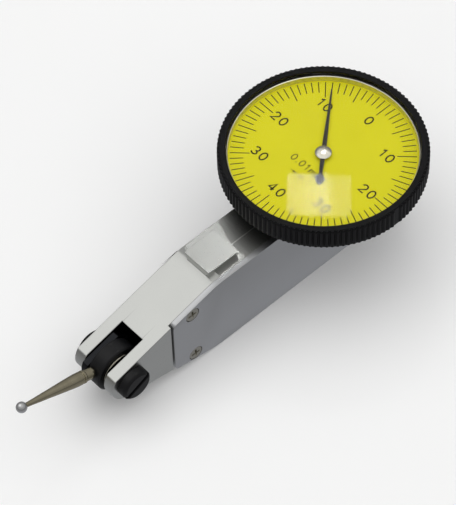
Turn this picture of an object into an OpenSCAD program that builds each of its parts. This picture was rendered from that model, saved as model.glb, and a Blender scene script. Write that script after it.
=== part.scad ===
// Lever-type dial test indicator, 0.01 mm graduations.
// +Z is the dial's normal, and the contact ball points towards -Y.
// The origin is on the flat underside, directly below the centre of the dial.

/* [Body] */
// Height of the body behind the bends
body_h = 17.9; // [15:0.1:21.6]
// From the dial's centre to the body's rear face
body_rear = 15; // [13.5:0.1:18]
// From the dial's centre to the bends in the top and bottom
bend_dist = 30.2; // [28.5:0.1:34]
// Fall of the top face in front of its bend, in degrees
top_fall = 15.2; // [13:0.1:16.5]
// Rise of the bottom face in front of its bend, in degrees
bottom_rise = 13; // [11:0.1:14]
// Width across the fork
fork_w = 10; // [9.4:0.1:13]
// Width of the slot between the fork's arms
slot_w = 5.3; // [4.9:0.1:6.5]
// From the fork pivot back to the end of the slot
slot_depth = 5; // [4.8:0.1:6]
// Width of the gear chamber, from its left wall to the side cover
core_w = 8.52; // [8.2:0.02:9]
// Length of the gear chamber in front of the dial's centre
chamber_front = 34; // [28:0.1:35]
// Length of the gear chamber behind the dial's centre
chamber_rear = 10.4; // [9:0.1:11]
// Thickness of the wall under the gear chamber
floor_t = 2.6; // [2.2:0.1:3]
// Thickness of the wall over the gear chamber
roof_t = 3.3; // [2.8:0.1:4]

/* [Dovetails] */
// Width across the top of a dovetail
dovetail_w = 6.5; // [5.5:0.1:7.8]
// Height of a dovetail
dovetail_h = 1.4; // [1:0.1:2]
// Length of the dovetail in front of the dial
dovetail_len = 7.1; // [5:0.1:8]
// From the dial's centre to the rear end of the front dovetail
dovetail_start = 23.2; // [21:0.1:25]

/* [Side cover] */
// Thickness of the side cover
cover_t = 1.04; // [0.9:0.02:1.3]
// Gap between the cover's front edge and the fork
cover_gap = 0.3; // [0.1:0.05:0.6]
// From the dial's centre to the cover's front edge
cover_front = 40.5; // [39:0.1:42]
// Radius of a cover screw's head
cover_screw_r = 1.55; // [1.2:0.05:1.65]
// Radius of a cover screw's thread
cover_thread_r = 0.75; // [0.6:0.05:0.9]

/* [Lever and stylus] */
// From the dial's centre forward to the fork pivot
pivot_dist = 50.4; // [49:0.1:52]
// Radius of a pivot screw's head
pivot_head_r = 3.05; // [2.6:0.05:3.8]
// How far the right pivot screw's head stands off the fork
right_head_h = 1.9; // [1:0.1:2.4]
// How far the left pivot screw's head stands off the fork
left_head_h = 0.7; // [0.6:0.1:1.4]
// Radius of the swivel pin
swivel_pin_r = 1; // [0.8:0.05:1.1]
// Radius of the stylus holder
holder_r = 4.65; // [4.2:0.05:4.7]
// From the fork pivot to the contact ball's centre
stylus_reach = 20.9; // [17:0.1:28]
// Upward tilt of the stylus at rest, in degrees
stylus_tilt = 18.4; // [0:0.1:30]
// Diameter of the contact ball
ball_d = 2; // [1:0.1:3]
// Largest radius of the stylus
stylus_r = 1.2; // [1:0.05:1.5]

/* [Gears] */
// Tooth module of all the gears
gear_m = 0.2; // [0.18:0.01:0.21]
// Full-circle tooth count of the sector gear
sector_teeth = 120; // [100:2:122]
// Tooth count of both pinions
pinion_teeth = 14; // [14:2:16]
// Tooth count of the crown gear
crown_teeth = 48; // [40:2:50]
// Turns of the needle for each millimetre at the contact ball
turns_per_mm = 1.25; // [1.1:0.01:1.4]
// Radius of the bearing end of a cross shaft
shaft_r = 0.4; // [0.3:0.02:0.5]

/* [Dial and bezel] */
// Outer diameter of the bezel
bezel_d = 37.5; // [35:0.1:45]
// Height of the bezel's side
bezel_h = 4.7; // [4.4:0.1:6]
// Gap between the body's top and the bezel's bottom
bezel_lift = 2.6; // [2.4:0.1:3.2]
// Width of the bezel's flat top ring
bezel_lip = 1.55; // [1.3:0.05:2]
// Thickness of the crystal
crystal_t = 0.7; // [0.5:0.05:0.8]
// Thickness of the dial face
dial_t = 0.5; // [0.4:0.05:0.6]
// From the needle's pivot to its tip
needle_len = 14.6; // [12:0.1:15]
// From the needle's pivot to the end of its tail
tail_len = 7; // [4:0.1:9]
// Direction of the needle at rest, counter-clockwise from the dial's top, in degrees
needle_rest = 40.5; // [0:0.1:90]

/* [Fits] */
// Radial clearance of a turning fit
run_fit = 0.04; // [0.02:0.01:0.06]
// Radial clearance of the bezel on its housing
bezel_fit = 0.08; // [0.04:0.01:0.1]
// Side gap beside a moving piece
side_gap = 0.15; // [0.1:0.01:0.2]

/* [Hidden] */
$fn = 48;

// Profile of the body
pivot_z = body_h / 2 - 0.1;
pivot_y = -pivot_dist;
bottom_bend = bend_dist + 0.5;
fork_r = (pivot_z - bottom_rise_z(pivot_dist)) * cos(bottom_rise) - 0.02;
slot_back = pivot_y + slot_depth;
fork_rear = -(cover_front + cover_gap);
cover_out = core_w / 2 + cover_t;
chamber_top = body_h - roof_t;
rear_rail_low = 2;
rear_rail_len = body_h - 2 * rear_rail_low;
passage_w = 3.3;
passage_h = 3.8;
passage_gap = 0.13;

// Screws
screw_inset = cover_screw_r + 0.07;
front_screw_y = -(cover_front - 4.4);
rear_screw_y = body_rear - 2.4;
cover_thread_len = 2.6;
cover_head_h = 0.55;
pivot_thread_r = 1.6;
plate_thread_r = 0.4;
plate_thread_len = 1.6;
bridge_thread_r = 0.3;
bridge_thread_len = 1.2;
bridge_screw_ys = [-1.1, 1.1];
housing_thread_r = 0.6;
housing_thread_len = 2.2;
housing_screw_ys = [-9, 9];

// Lever parts, from left to right across the slot
cheek_out = slot_w / 2 - side_gap;
lever_t = 1.3;
holder_gap = 0.05;
holder_x0 = -cheek_out + lever_t + holder_gap;
pin_head_t = 0.25;
washer_t = 0.35;
holder_len = cheek_out - pin_head_t - holder_gap - washer_t - holder_x0;
shank_r = 0.8;
shank_end = swivel_pin_r + 0.35;
neck_r = 0.22 * ball_d;
ball_seat = ball_d / 2 - sqrt(ball_d ^ 2 / 4 - neck_r ^ 2);
lever_r = holder_r + 0.2;
tip_r = swivel_pin_r / 2;
tip_len = 0.7;

// Gear train
sector_r = sector_teeth * gear_m / 2;
pinion_r = pinion_teeth * gear_m / 2;
crown_r = crown_teeth * gear_m / 2;
sector_y = -(sector_r + pinion_r);
gear_ratio = sector_teeth * crown_teeth / pinion_teeth ^ 2;
needle_ratio = 2 * PI * stylus_reach * turns_per_mm;
lever_ratio = needle_ratio / gear_ratio;
sector_arm = (sector_y - pivot_y) / (1 + lever_ratio);
pin_y = sector_y - sector_arm;
pin_r = 0.4;
addendum = 0.8 * gear_m;
dedendum = 1.1 * gear_m;
wheel_t = 0.6;
crown_in = pinion_r + dedendum;
crown_tip = pinion_r - addendum;
sector_x = crown_in + wheel_t + 0.25;
plate_in = 3.4;
plate_t = core_w / 2 - plate_in - 0.02;
shaft_gap = 0.15;
shaft_body_r = shaft_r + 0.15;
tooth_foot = 0.65 * gear_m;
tooth_tip = 0.3 * gear_m;

// Movement plates
plate_front = sector_y - 6;
plate_rear = 8;
plate_low = 1;
plate_high = body_h - 1.7;
plate_gap = 0.05;
plate_screw_in = 0.85;
bush_r = 0.85;
pillar_r = 0.9;
pillar_tip_r = 0.5;
pillar_places = [[plate_front + 3, floor_t + 1.2], [plate_rear - 2.2, floor_t + 1.2],
                 [plate_rear - 2.2, chamber_top - 1.2], [sector_y + 2.6, chamber_top - 1.2]];

// Centre arbor, from the bottom up
centre_gear_z = pivot_z + crown_r;
bridge_top = centre_gear_z - 1.7;
bridge_t = 1.4;
jewel_r = 0.55;
top_jewel_r = 0.9;
arbor_tip_r = 0.18;
arbor_r = 0.3;
arbor_shoulder_r = 0.42;

// Dial and housing
bezel_z0 = body_h + bezel_lift;
bezel_z1 = bezel_z0 + bezel_h;
bezel_r = bezel_d / 2;
lip_r = bezel_r - bezel_lip;
seat_r = lip_r + 0.4;
lip_t = 0.4;
crystal_z = bezel_z1 - lip_t - crystal_t;
dial_z = bezel_z0 + 1.9;
housing_r = lip_r - 0.2;
housing_floor = 1;
housing_wall = 0.9;
ring_z = bezel_z0 + 0.9;
ring_r = 0.26;
needle_z = dial_z + dial_t + 0.45;
needle_t = 0.15;
hub_r = 1.5;
hub_neck_r = 0.6;
arbor_top = needle_z + needle_t + 0.15;
collet_z = body_h + 1.7;
collet_h = 1;
spring_turns = 4;
spring_in = 1;
spring_pitch = 0.8;
stud_r = spring_in + spring_turns * spring_pitch;

// Height of the bottom face at a distance in front of the dial's centre
function bottom_rise_z(d) = max(0, (d - bottom_bend) * tan(bottom_rise));

// Height of the top face at a distance in front of the dial's centre
function top_fall_z(d) = body_h - max(0, (d - bend_dist) * tan(top_fall));

// Points around a tooth gap or tooth: radius and half width pairs at an angle
function tooth(a, r0, r1, w0, w1) = [
    for (p = [[r0, -w0], [r1, -w1], [r1, w1], [r0, w0]])
        [p[0] * cos(a) - p[1] * sin(a), p[0] * sin(a) + p[1] * cos(a)]
];

// Places a child drawn in Y and Z with its thickness along X, from x0 over a length
module along_x(x0, len) {
    translate([x0, 0, 0]) rotate([90, 0, 90]) linear_extrude(len) children();
}

// A round bar along X
module bar_x(x0, len, r, y, z) {
    translate([x0, y, z]) rotate([0, 90, 0]) cylinder(h = len, r = r);
}

// Side profile of the body from the rear face to a distance in front of the dial
module body_profile(front, rear) {
    polygon([
        [rear, 0], [-bottom_bend, 0], [-front, bottom_rise_z(front)],
        [-front, top_fall_z(front)], [-bend_dist, body_h], [rear, body_h]
    ]);
}

// Dovetail rail along Z that stands towards +Y, wider at its outer face
module dovetail(len) {
    foot = dovetail_w / 2 - dovetail_h * tan(30);
    linear_extrude(len) polygon([
        [-foot, -0.2], [foot, -0.2], [foot, 0], [dovetail_w / 2, dovetail_h],
        [-dovetail_w / 2, dovetail_h], [-foot, 0]
    ]);
}

// Places of the cover screws along Y and Z
function cover_screw_places() = [
    [front_screw_y, top_fall_z(-front_screw_y) - screw_inset],
    [front_screw_y + 0.3, bottom_rise_z(-front_screw_y - 0.3) + screw_inset],
    [rear_screw_y, body_h - screw_inset - 0.4], [rear_screw_y, screw_inset + 0.4]
];

// Places of the movement plate screws along Y and Z
function plate_screw_places() = [
    for (y = [plate_front + plate_screw_in, plate_rear - plate_screw_in])
        for (z = [plate_low + plate_screw_in, plate_high - plate_screw_in]) [y, z]
];

// ---- Body ----

module main_frame() {
    color("silver") difference() {
        union() {
            intersection() {
                along_x(-fork_w / 2, fork_w) body_profile(pivot_dist + 6, body_rear);
                union() {
                    bar_x(-fork_w, 2 * fork_w, fork_r, pivot_y, pivot_z);
                    translate([-fork_w, pivot_y - fork_r * sin(bottom_rise), -1])
                        cube([2 * fork_w, 100, body_h + 2]);
                }
            }
            translate([0, -dovetail_start, body_h]) rotate([90, 0, 0]) dovetail(dovetail_len);
            translate([0, body_rear, rear_rail_low]) dovetail(rear_rail_len);
        }
        // Seat of the side cover
        translate([core_w / 2, fork_rear, -1]) cube([fork_w, 20 - fork_rear, body_h + 2]);
        // Slot between the fork's arms
        translate([-slot_w / 2, pivot_y - 10, -1]) cube([slot_w, 10 + slot_depth, body_h + 2]);
        // Threaded holes of the pivot screws
        bar_x(-fork_w, 2 * fork_w, pivot_thread_r, pivot_y, pivot_z);
        // Passage for the lever's arm
        translate([-cheek_out - passage_gap, slot_back - 1, pivot_z - passage_h / 2])
            cube([passage_w, -slot_back - chamber_front + 2, passage_h]);
        // Gear chamber
        translate([-core_w / 2, -chamber_front, floor_t])
            cube([2 * core_w, chamber_front + chamber_rear, chamber_top - floor_t]);
        // Seat of the right movement plate
        translate([plate_in, plate_front, plate_low])
            cube([core_w, plate_rear - plate_front, plate_high - plate_low]);
        // Threads of the plate screws and the cover screws
        for (p = plate_screw_places())
            bar_x(plate_in - plate_thread_len, core_w, plate_thread_r, p[0], p[1]);
        for (p = cover_screw_places())
            bar_x(core_w / 2 - cover_thread_len, core_w, cover_thread_r, p[0], p[1]);
        // Seat of the upper centre jewel
        translate([0, 0, chamber_top - 1]) cylinder(h = roof_t + 2, r = top_jewel_r);
        // Threads of the housing screws
        for (y = housing_screw_ys) translate([0, y, body_h - housing_thread_len])
            cylinder(h = housing_thread_len + 1, r = housing_thread_r);
    }
}

// Cover of the body's right side, with countersunk screw holes
module right_cover() {
    color("lightgray") difference() {
        along_x(core_w / 2, cover_t) body_profile(cover_front, body_rear);
        for (p = cover_screw_places()) {
            bar_x(0, 2 * core_w, cover_thread_r, p[0], p[1]);
            bar_x(cover_out - cover_head_h, cover_head_h + 1, cover_screw_r, p[0], p[1]);
        }
    }
}

// Four cross-recessed screws
module right_cover_screws() {
    color("gainsboro") for (p = cover_screw_places()) difference() {
        union() {
            bar_x(cover_out - cover_head_h, cover_head_h, cover_screw_r, p[0], p[1]);
            bar_x(core_w / 2 - cover_thread_len, cover_t + cover_thread_len - cover_head_h / 2,
                  cover_thread_r, p[0], p[1]);
        }
        for (turn = [20, 110]) translate([cover_out, p[0], p[1]]) rotate([turn, 0, 0])
            cube([0.7, 1.7, 0.36], center = true);
    }
}

// ---- Lever, swivel and stylus ----

// Slotted screw whose inner tip carries the swivel pin, pointing inwards from the right
module pivot_screw(head_h) {
    head_x = fork_w / 2;
    chamfer = 0.24 * head_h;
    thread_in = slot_w / 2 + 0.1;
    difference() {
        union() {
            bar_x(head_x, head_h - chamfer, pivot_head_r, pivot_y, pivot_z);
            translate([head_x + head_h - chamfer, pivot_y, pivot_z]) rotate([0, 90, 0])
                cylinder(h = chamfer, r1 = pivot_head_r, r2 = pivot_head_r - chamfer);
            bar_x(thread_in, head_x - thread_in, pivot_thread_r, pivot_y, pivot_z);
            bar_x(cheek_out - tip_len + 0.1, thread_in - cheek_out + tip_len - 0.1,
                  tip_r - run_fit, pivot_y, pivot_z);
        }
        translate([head_x + head_h, pivot_y, pivot_z]) rotate([25, 0, 0])
            cube([0.75 * head_h, 3 * pivot_head_r, 0.9], center = true);
    }
}

module right_pivot_screw() { color("dimgray") pivot_screw(right_head_h); }
module left_pivot_screw() { color("dimgray") mirror([1, 0, 0]) pivot_screw(left_head_h); }

// Pin with a flat head on its right end and a bore in each end for a screw tip
module swivel_pin() {
    color("lightsteelblue") difference() {
        union() {
            bar_x(-cheek_out, 2 * cheek_out, swivel_pin_r, pivot_y, pivot_z);
            bar_x(cheek_out - pin_head_t, pin_head_t, swivel_pin_r + 0.8, pivot_y, pivot_z);
        }
        for (side = [-1, 1])
            bar_x(side > 0 ? cheek_out - tip_len : -cheek_out - 1, tip_len + 1, tip_r,
                  pivot_y, pivot_z);
    }
}

// Lever beside the stylus holder: a disc cut off below the fork's top, and an arm to the rear
module lever() {
    eye_r = 1.1;
    top_drop = 0.3;
    color("slategray") difference() {
        union() {
            intersection() {
                bar_x(-cheek_out, lever_t, lever_r, pivot_y, pivot_z);
                along_x(-fork_w, 2 * fork_w) polygon([
                    [slot_back, 0], [slot_back, top_fall_z(-slot_back) - top_drop],
                    [pivot_y - 6, top_fall_z(pivot_dist + 6) - top_drop], [pivot_y - 6, 0]
                ]);
            }
            along_x(-cheek_out, lever_t) polygon([
                [pivot_y, pivot_z - 1.5], [pivot_y, pivot_z + 1.5],
                [pin_y, pivot_z + 0.75], [pin_y, pivot_z - 0.75]
            ]);
            bar_x(-cheek_out, lever_t, eye_r, pin_y, pivot_z);
        }
        bar_x(-slot_w, 2 * slot_w, swivel_pin_r, pivot_y, pivot_z);
        bar_x(-slot_w, 2 * slot_w, pin_r, pin_y, pivot_z);
    }
}

module lever_drive_pin() {
    color("lightsteelblue")
        bar_x(-cheek_out, cheek_out + sector_x + wheel_t, pin_r, pin_y, pivot_z);
}

// Turns what is drawn pointing towards -Y by the stylus tilt about the fork pivot
module on_stylus_axis() {
    translate([0, pivot_y, pivot_z]) rotate([90 - stylus_tilt, 0, 0]) children();
}

module stylus_holder() {
    color("dimgray") difference() {
        bar_x(holder_x0, holder_len, holder_r, pivot_y, pivot_z);
        bar_x(-slot_w, 2 * slot_w, swivel_pin_r + run_fit, pivot_y, pivot_z);
        on_stylus_axis() translate([0, 0, shank_end]) cylinder(h = holder_r, r = shank_r);
    }
}

module friction_washer() {
    washer_r = 0.75 * holder_r;
    color("khaki") difference() {
        bar_x(holder_x0 + holder_len, washer_t, washer_r, pivot_y, pivot_z);
        bar_x(-slot_w, 2 * slot_w, swivel_pin_r + run_fit, pivot_y, pivot_z);
    }
}

module stylus() {
    collar_z = holder_r + 0.2;
    groove_z = 7.1;
    neck_z = stylus_reach - ball_d / 2 + ball_seat;
    color("tan") on_stylus_axis() rotate_extrude() polygon([
        [0, shank_end], [shank_r, shank_end], [shank_r, collar_z], [stylus_r - 0.15, collar_z],
        [stylus_r - 0.15, groove_z - 0.5], [stylus_r, groove_z - 0.35], [stylus_r, groove_z],
        [stylus_r - 0.2, groove_z + 0.1], [stylus_r - 0.2, groove_z + 0.35],
        [stylus_r, groove_z + 0.45], [stylus_r - 0.05, groove_z + 2.5],
        [neck_r, neck_z - 0.7], [neck_r, neck_z], [0, neck_z]
    ]);
}

module contact_ball() {
    color("silver") difference() {
        on_stylus_axis() translate([0, 0, stylus_reach]) sphere(d = ball_d);
        on_stylus_axis() translate([0, 0, stylus_reach - ball_d / 2 + ball_seat - ball_d])
            cylinder(h = ball_d, r = neck_r);
    }
}

// ---- Movement ----

// Plate that carries the shaft bushes, between two heights
module movement_plate(x0, low, high) {
    difference() {
        translate([x0, plate_front + plate_gap, low + plate_gap])
            cube([plate_t, plate_rear - plate_front - 2 * plate_gap, high - low - 2 * plate_gap]);
        for (p = pillar_places) bar_x(-core_w, 2 * core_w, pillar_tip_r, p[0], p[1]);
        bar_x(-core_w, 2 * core_w, bush_r, sector_y, pivot_z);
        bar_x(-core_w, 2 * core_w, bush_r, 0, pivot_z);
        children();
    }
}

// Screwed to the body, and wider than the gear chamber
module right_movement_plate() {
    color("goldenrod") movement_plate(plate_in, plate_low, plate_high)
        for (p = plate_screw_places()) bar_x(0, core_w, plate_thread_r, p[0], p[1]);
}

// Held by the pillars only, and small enough to pass through the gear chamber
module left_movement_plate() {
    color("goldenrod") movement_plate(-plate_in - plate_t, floor_t, chamber_top)
        for (y = bridge_screw_ys)
            bar_x(-core_w, core_w, bridge_thread_r, y, bridge_top - bridge_t / 2);
}

module plate_pillars() {
    color("gold") for (p = pillar_places) {
        bar_x(-plate_in, 2 * plate_in, pillar_r, p[0], p[1]);
        bar_x(-plate_in - plate_t, 2 * (plate_in + plate_t), pillar_tip_r, p[0], p[1]);
    }
}

module plate_screws() {
    color("gainsboro") for (p = plate_screw_places())
        bar_x(plate_in - plate_thread_len, plate_thread_len + plate_t, plate_thread_r, p[0], p[1]);
}

// Cross shaft between two bushes, thinner at its ends
module cross_shaft(y) {
    bar_x(-plate_in + shaft_gap, 2 * (plate_in - shaft_gap), shaft_body_r, y, pivot_z);
    bar_x(-plate_in - plate_t / 2, 2 * plate_in + plate_t, shaft_r, y, pivot_z);
}

// Pair of flanged bushes for a cross shaft
module bushes(y) {
    for (side = [-1, 1]) difference() {
        bar_x(side > 0 ? plate_in : -plate_in - plate_t, plate_t, bush_r, y, pivot_z);
        bar_x(side > 0 ? plate_in - 1 : -plate_in - plate_t / 2 - 0.1, plate_t / 2 + 1.1,
              shaft_r + run_fit, y, pivot_z);
    }
}

module sector_shaft() { color("silver") cross_shaft(sector_y); }
module sector_bushes() { color("firebrick") bushes(sector_y); }
module crown_shaft() { color("silver") cross_shaft(0); }
module crown_bushes() { color("firebrick") bushes(0); }

// Sector gear: toothed arc to the rear, slotted arm to the front
module sector_gear() {
    half_teeth = 4;
    rim_half = (half_teeth + 0.7) * 360 / sector_teeth;
    root_r = sector_r - dedendum;
    rim_in = root_r - 1;
    web_end = rim_in + 0.3;
    web_half = rim_in * sin(rim_half) - 0.1;
    rim_angles = [for (i = [0:10]) -rim_half + i * rim_half / 5];
    color("gold") translate([0, sector_y, pivot_z]) difference() {
        union() {
            along_x(sector_x, wheel_t) polygon(concat(
                [for (a = rim_angles) root_r * [cos(a), sin(a)]],
                [for (i = [10:-1:0]) rim_in * [cos(rim_angles[i]), sin(rim_angles[i])]]
            ));
            for (i = [-half_teeth:half_teeth])
                along_x(sector_x, wheel_t) polygon(tooth(i * 360 / sector_teeth, root_r - 0.05,
                    sector_r + addendum, tooth_foot, tooth_tip));
            along_x(sector_x, wheel_t) polygon([
                [0, 1], [web_end, web_half], [web_end, -web_half], [0, -1],
                [-sector_arm - 0.6, -0.95], [-sector_arm - 1.1, -0.6],
                [-sector_arm - 1.1, 0.6], [-sector_arm - 0.6, 0.95]
            ]);
            bar_x(sector_x, wheel_t, 1.5, 0, 0);
        }
        bar_x(0, core_w, shaft_body_r, 0, 0);
        translate([0, -sector_arm - 2, -pin_r - run_fit])
            cube([core_w, 2.6, 2 * (pin_r + run_fit)]);
        along_x(0, core_w) polygon([
            [3, -0.45], [3, 0.45], [rim_in - 1.2, 1.1], [rim_in - 1.2, -1.1]
        ]);
    }
}

// Outline of a pinion with a gap towards its local +X
module pinion_outline(hole_r) {
    difference() {
        union() {
            circle(pinion_r - dedendum);
            for (i = [0:pinion_teeth - 1])
                polygon(tooth((i + 0.5) * 360 / pinion_teeth, pinion_r - dedendum - 0.05,
                              pinion_r + addendum, tooth_foot, tooth_tip));
        }
        circle(hole_r);
    }
}

// Crown gear: a disc with teeth that stand towards -X
module crown_gear() {
    color("gold") difference() {
        union() {
            bar_x(crown_in, wheel_t, crown_r + 0.4, 0, pivot_z);
            for (i = [0:crown_teeth - 1])
                translate([0, 0, pivot_z]) rotate([i * 360 / crown_teeth, 0, 0])
                    translate([0, 0, crown_r - 0.4]) linear_extrude(0.75) polygon([
                        [crown_in + 0.05, -tooth_foot], [crown_tip, -tooth_tip],
                        [crown_tip, tooth_tip], [crown_in + 0.05, tooth_foot]
                    ]);
        }
        bar_x(0, core_w, shaft_body_r, 0, pivot_z);
        for (i = [0:4]) translate([0, 0, pivot_z]) rotate([i * 72, 0, 0])
            bar_x(0, core_w, 1, 2.6, 0);
    }
}

module crown_pinion() {
    color("silver") translate([0, 0, pivot_z]) along_x(sector_x - 0.1, wheel_t + 0.2)
        pinion_outline(shaft_body_r);
}

module centre_bridge() {
    color("goldenrod") difference() {
        translate([-plate_in, -1.7, bridge_top - bridge_t]) cube([plate_in + 0.95, 3.4, bridge_t]);
        translate([0, 0, bridge_top - bridge_t - 1]) cylinder(h = bridge_t + 2, r = jewel_r);
        for (y = bridge_screw_ys)
            bar_x(-core_w, core_w - plate_in + bridge_thread_len, bridge_thread_r, y,
                  bridge_top - bridge_t / 2);
    }
}

module bridge_screws() {
    color("gainsboro") for (y = bridge_screw_ys)
        bar_x(-plate_in - plate_t, plate_t + bridge_thread_len, bridge_thread_r, y,
              bridge_top - bridge_t / 2);
}

module lower_centre_jewel() {
    color("firebrick") difference() {
        translate([0, 0, bridge_top - bridge_t]) cylinder(h = bridge_t, r = jewel_r);
        translate([0, 0, bridge_top - bridge_t / 2])
            cylinder(h = bridge_t, r = arbor_tip_r + run_fit);
    }
}

module upper_centre_jewel() {
    color("firebrick") difference() {
        translate([0, 0, chamber_top + 1]) cylinder(h = roof_t - 1, r = top_jewel_r);
        translate([0, 0, chamber_top]) cylinder(h = roof_t + 1, r = arbor_r + run_fit);
    }
}

module centre_arbor() {
    pivot_low = bridge_top - bridge_t / 2 + 0.1;
    shoulder_low = bridge_top + 0.1;
    shoulder_high = chamber_top + 0.85;
    color("silver") rotate_extrude() polygon([
        [0, pivot_low], [arbor_tip_r, pivot_low], [arbor_tip_r, shoulder_low],
        [arbor_shoulder_r, shoulder_low], [arbor_shoulder_r, shoulder_high],
        [arbor_r, shoulder_high], [arbor_r, arbor_top], [0, arbor_top]
    ]);
}

module centre_pinion() {
    color("gold") translate([0, 0, centre_gear_z - 0.6]) linear_extrude(1.2)
        pinion_outline(arbor_shoulder_r);
}

// ---- Hairspring ----

module hairspring_collet() {
    color("gold") translate([0, 0, collet_z]) difference() {
        cylinder(h = collet_h, r = spring_in - 0.08);
        translate([0, 0, -1]) cylinder(h = collet_h + 2, r = arbor_r);
    }
}

module hairspring() {
    strip = 0.08;
    steps = 36 * spring_turns;
    function arm(i, side) = let (a = i * 10, r = spring_in + spring_pitch * i / 36 + side)
        r * [cos(a), sin(a)];
    color("steelblue") translate([0, 0, collet_z + 0.3]) linear_extrude(0.4) polygon(concat(
        [for (i = [0:steps]) arm(i, strip)], [for (i = [steps:-1:0]) arm(i, -strip)]
    ));
}

module hairspring_stud() {
    color("gold") translate([stud_r + 0.48, 0, body_h + housing_floor])
        cylinder(h = collet_z + collet_h - body_h - housing_floor, r = 0.4);
}

// ---- Housing, dial and bezel ----

module dial_housing() {
    foot_r = housing_r - 2.4;
    color("dimgray") difference() {
        rotate_extrude() polygon([
            [0, body_h], [foot_r, body_h], [housing_r - 0.5, bezel_z0 - 0.4],
            [housing_r - 0.5, bezel_z0], [housing_r, bezel_z0], [housing_r, ring_z - ring_r - 0.05],
            [housing_r - 0.35, ring_z - ring_r - 0.05], [housing_r - 0.35, ring_z + ring_r + 0.05],
            [housing_r, ring_z + ring_r + 0.05], [housing_r, dial_z - 0.05],
            [housing_r - housing_wall, dial_z - 0.05], [housing_r - housing_wall, bezel_z0],
            [foot_r - housing_wall, body_h + housing_floor], [0, body_h + housing_floor]
        ]);
        translate([0, 0, body_h - 1]) cylinder(h = housing_floor + 2, r = top_jewel_r + 0.1);
        for (y = housing_screw_ys) translate([0, y, body_h - 1])
            cylinder(h = housing_floor + 2, r = housing_thread_r);
    }
}

module housing_screws() {
    color("gainsboro") for (y = housing_screw_ys) translate([0, y, 0]) difference() {
        union() {
            translate([0, 0, body_h - housing_thread_len])
                cylinder(h = housing_thread_len + housing_floor, r = housing_thread_r);
            translate([0, 0, body_h + housing_floor]) cylinder(h = 0.6, r = 1.2);
        }
        translate([0, 0, body_h + housing_floor + 0.6]) cube([3, 0.35, 0.6], center = true);
    }
}

// Split wire ring that keeps the bezel on the housing
module bezel_retaining_ring() {
    color("silver") difference() {
        translate([0, 0, ring_z]) rotate_extrude() translate([housing_r + bezel_fit / 2, 0])
            circle(ring_r, $fn = 24);
        translate([housing_r - 1, -1, ring_z - 1]) cube([2, 2, 2]);
    }
}

module bezel() {
    bore_r = housing_r + bezel_fit;
    edge = 0.3;
    color("black") rotate_extrude() polygon([
        [bore_r, bezel_z0], [bezel_r - edge, bezel_z0], [bezel_r, bezel_z0 + edge],
        [bezel_r, bezel_z1 - edge], [bezel_r - edge, bezel_z1], [lip_r, bezel_z1],
        [lip_r, bezel_z1 - lip_t], [seat_r, bezel_z1 - lip_t], [seat_r, dial_z],
        [bore_r, dial_z], [bore_r, ring_z + ring_r + 0.05],
        [bore_r + 0.35, ring_z + ring_r + 0.05], [bore_r + 0.35, ring_z - ring_r - 0.05],
        [bore_r, ring_z - ring_r - 0.05]
    ]);
}

module crystal() {
    color("white", 0.3) translate([0, 0, crystal_z]) cylinder(h = crystal_t, r = seat_r);
}

module crystal_ring() {
    color("tan") translate([0, 0, dial_z + dial_t]) difference() {
        cylinder(h = crystal_z - dial_z - dial_t, r = seat_r);
        translate([0, 0, -1]) cylinder(h = bezel_h, r = lip_r - 0.35);
    }
}

module dial_face() {
    color("yellow") translate([0, 0, dial_z]) difference() {
        cylinder(h = dial_t, r = seat_r);
        translate([0, 0, -1]) cylinder(h = dial_t + 2, r = 1.1);
    }
}

module needle() {
    color("black") translate([0, 0, needle_z]) rotate([0, 0, needle_rest])
        linear_extrude(needle_t) difference() {
            union() {
                polygon([
                    [0.45, 0], [0.12, needle_len], [-0.12, needle_len], [-0.45, 0],
                    [-0.3, 2.5 - tail_len], [-0.9, 1.2 - tail_len], [-0.3, -tail_len],
                    [0.3, -tail_len], [0.9, 1.2 - tail_len], [0.3, 2.5 - tail_len]
                ]);
                circle(hub_neck_r + 0.4);
            }
            circle(hub_neck_r);
        }
}

// Domed hub riveted through the needle, pressed on the arbor from above
module needle_hub() {
    color("lightgray") translate([0, 0, needle_z]) rotate_extrude() polygon([
        [arbor_r, -0.25], [hub_neck_r + 0.3, -0.25], [hub_neck_r + 0.3, 0], [hub_neck_r, 0],
        [hub_neck_r, needle_t], [hub_r, needle_t], [hub_r - 0.1, needle_t + 0.15],
        [hub_r - 0.4, needle_t + 0.27], [hub_r - 0.9, needle_t + 0.34], [0, needle_t + 0.38],
        [0, arbor_top - needle_z], [arbor_r, arbor_top - needle_z]
    ]);
}

main_frame();
right_cover();
right_cover_screws();
right_pivot_screw();
left_pivot_screw();
swivel_pin();
lever();
lever_drive_pin();
stylus_holder();
friction_washer();
stylus();
contact_ball();
right_movement_plate();
left_movement_plate();
plate_pillars();
plate_screws();
sector_shaft();
sector_gear();
sector_bushes();
crown_shaft();
crown_gear();
crown_pinion();
crown_bushes();
centre_bridge();
bridge_screws();
lower_centre_jewel();
upper_centre_jewel();
centre_arbor();
centre_pinion();
hairspring_collet();
hairspring();
hairspring_stud();
dial_housing();
housing_screws();
bezel_retaining_ring();
bezel();
crystal();
crystal_ring();
dial_face();
needle();
needle_hub();
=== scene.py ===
import math

import bmesh
import bpy
from mathutils import Matrix, Vector


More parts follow.
